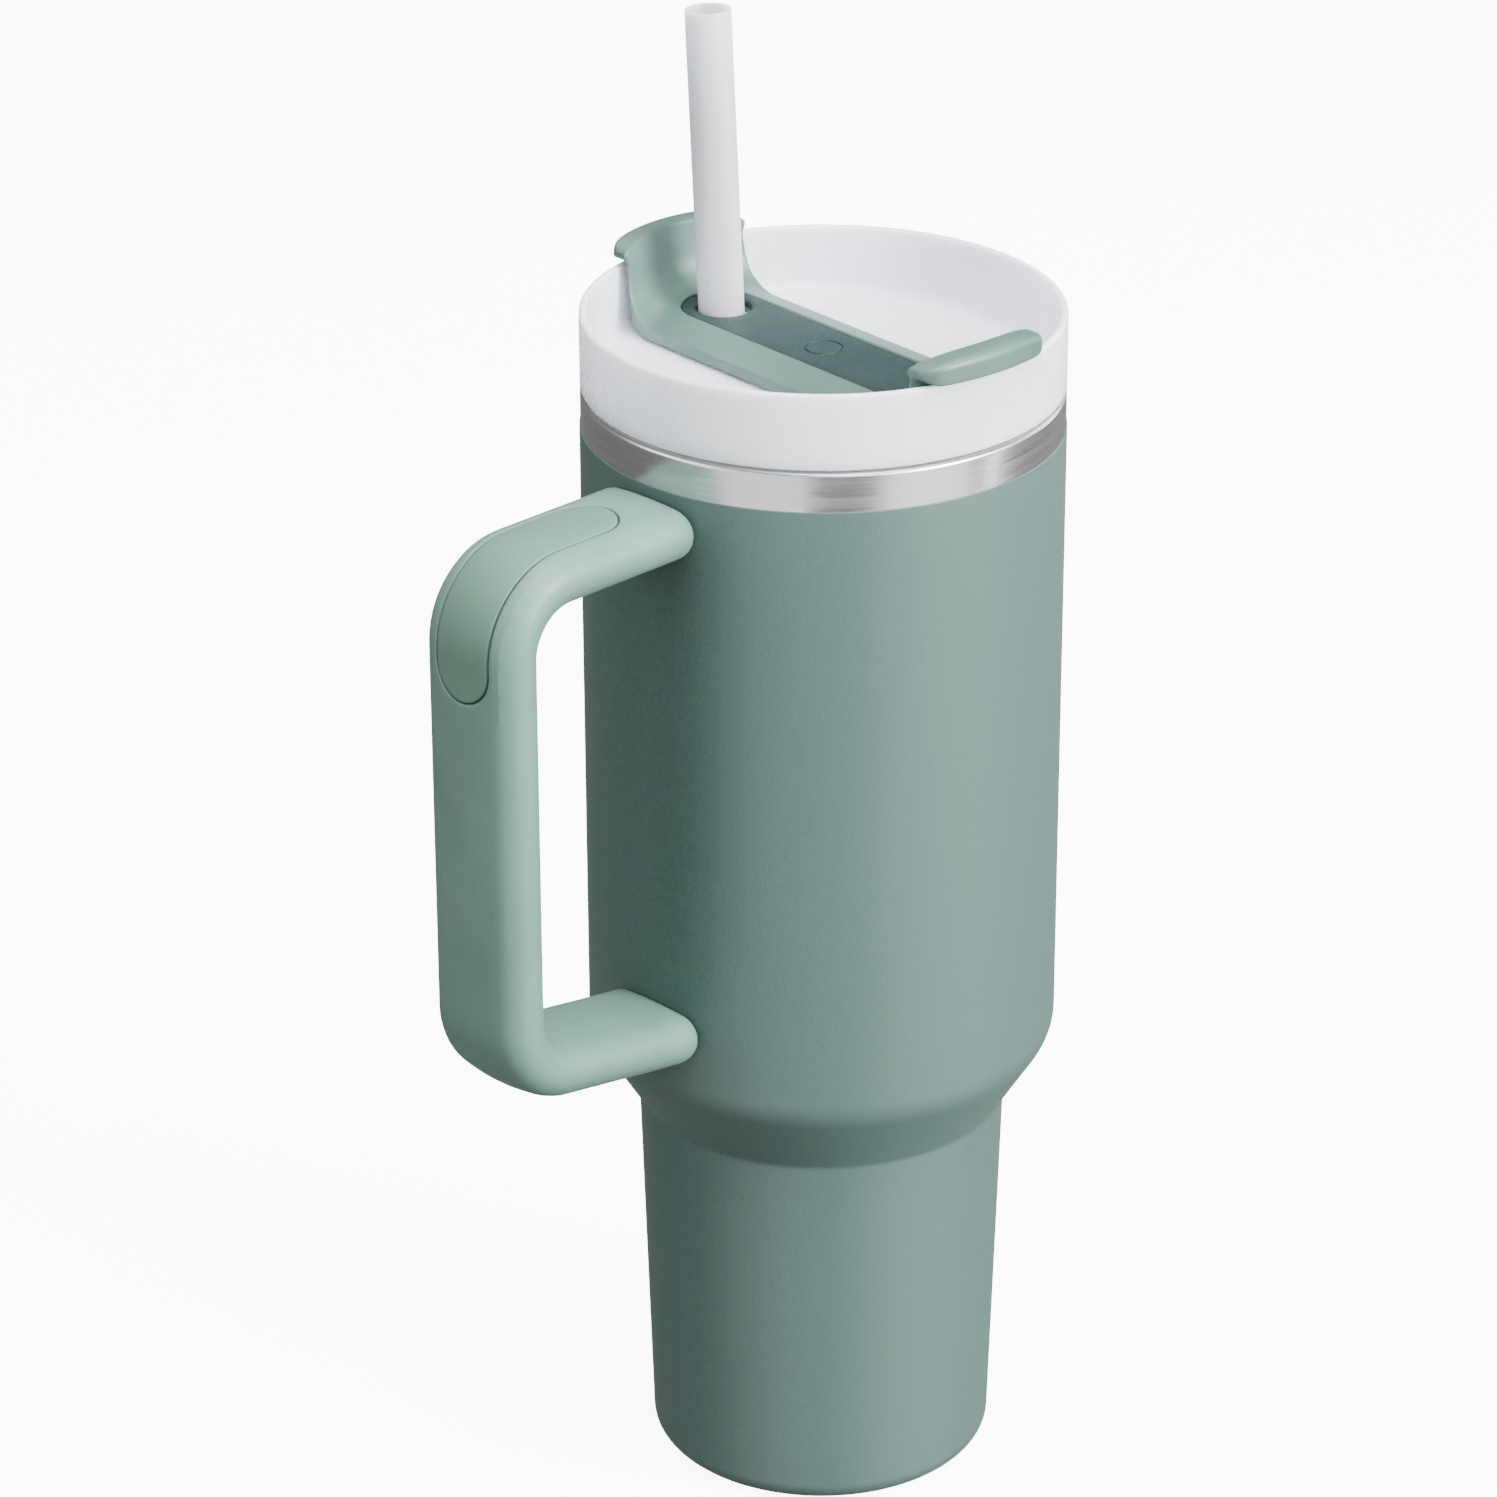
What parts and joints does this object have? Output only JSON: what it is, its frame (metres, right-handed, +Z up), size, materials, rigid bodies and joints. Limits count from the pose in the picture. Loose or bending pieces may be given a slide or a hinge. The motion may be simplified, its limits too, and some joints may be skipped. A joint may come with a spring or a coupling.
{
  "type": "insulated tumbler with lid",
  "caption": "Tall double-walled steel tumbler with a side handle, a screw lid with a rotating cover, and a drinking straw.",
  "frame": {"origin": "centre of the base's standing plane, on the cup's axis", "axes": "+Z up the cup's axis, -X towards the handle, the rotating cover's bar near Y with the straw's end at +Y"},
  "size_m": [0.149, 0.1012, 0.3112],
  "materials": {
    "powder_coat": "matt powder coat with a fine texture",
    "brushed_band": "brushed around the axis",
    "liner_steel": "satin",
    "seal_metal": "dull",
    "handle_plastic": "fine matt grain",
    "grip_soft": "soft-touch matt",
    "screw_steel": "satin",
    "frosted_plastic": "frosted, translucent",
    "silicone": "translucent silicone",
    "cover_plastic": "satin",
    "insert_plastic": "fine matt",
    "straw_plastic": "milky, translucent"
  },
  "bodies": {
    "cup": {"outer_shell": "powder_coat", "mouth_ring": "brushed_band", "inner_liner": "liner_steel", "base_plate": "powder_coat", "vacuum_bottom": "liner_steel", "vacuum_seal": "seal_metal", "getter": "seal_metal", "handle_frame": "handle_plastic", "grip_insert": "grip_soft", "upper_bracket": "liner_steel", "lower_bracket": "liner_steel", "upper_screws": "screw_steel", "lower_screw": "screw_steel", "screw_cover": "handle_plastic"},
    "gasket": {"lid_gasket": "silicone"},
    "lid": {"lid_rim": "frosted_plastic", "lid_deck": "frosted_plastic", "lid_plug": "frosted_plastic", "pivot_seal": "silicone"},
    "cover": {"rotating_cover": "cover_plastic", "cover_insert": "insert_plastic", "straw_seal": "silicone", "closing_pad": "silicone", "pivot_pin": "cover_plastic", "pivot_clip": "screw_steel"},
    "straw": {"straw": "straw_plastic"}
  },
  "joints": [
    {"name": "lid_rise", "type": "slide", "parent": "cup", "child": "gasket", "axis": [0, 0, 1], "range_m": [0, 0.0211]},
    {"name": "lid_turn", "type": "hinge", "parent": "gasket", "child": "lid", "pos_m": [0, 0, 0.2412], "axis": [0, 0, 1], "range_deg": [0, 540]},
    {"name": "cover_turn", "type": "hinge", "parent": "lid", "child": "cover", "pos_m": [0, 0, 0.2436], "axis": [0, 0, 1], "range_deg": [-14, 14]},
    {"name": "straw_pull", "type": "slide", "parent": "cover", "child": "straw", "axis": [0.0045, 0.0591, 0.9982], "range_m": [0, 0.25]}
  ],
  "couplings": [
    {"joint": "lid_rise", "follows": "lid_turn", "m_per_rad": 0.0022282}
  ]
}
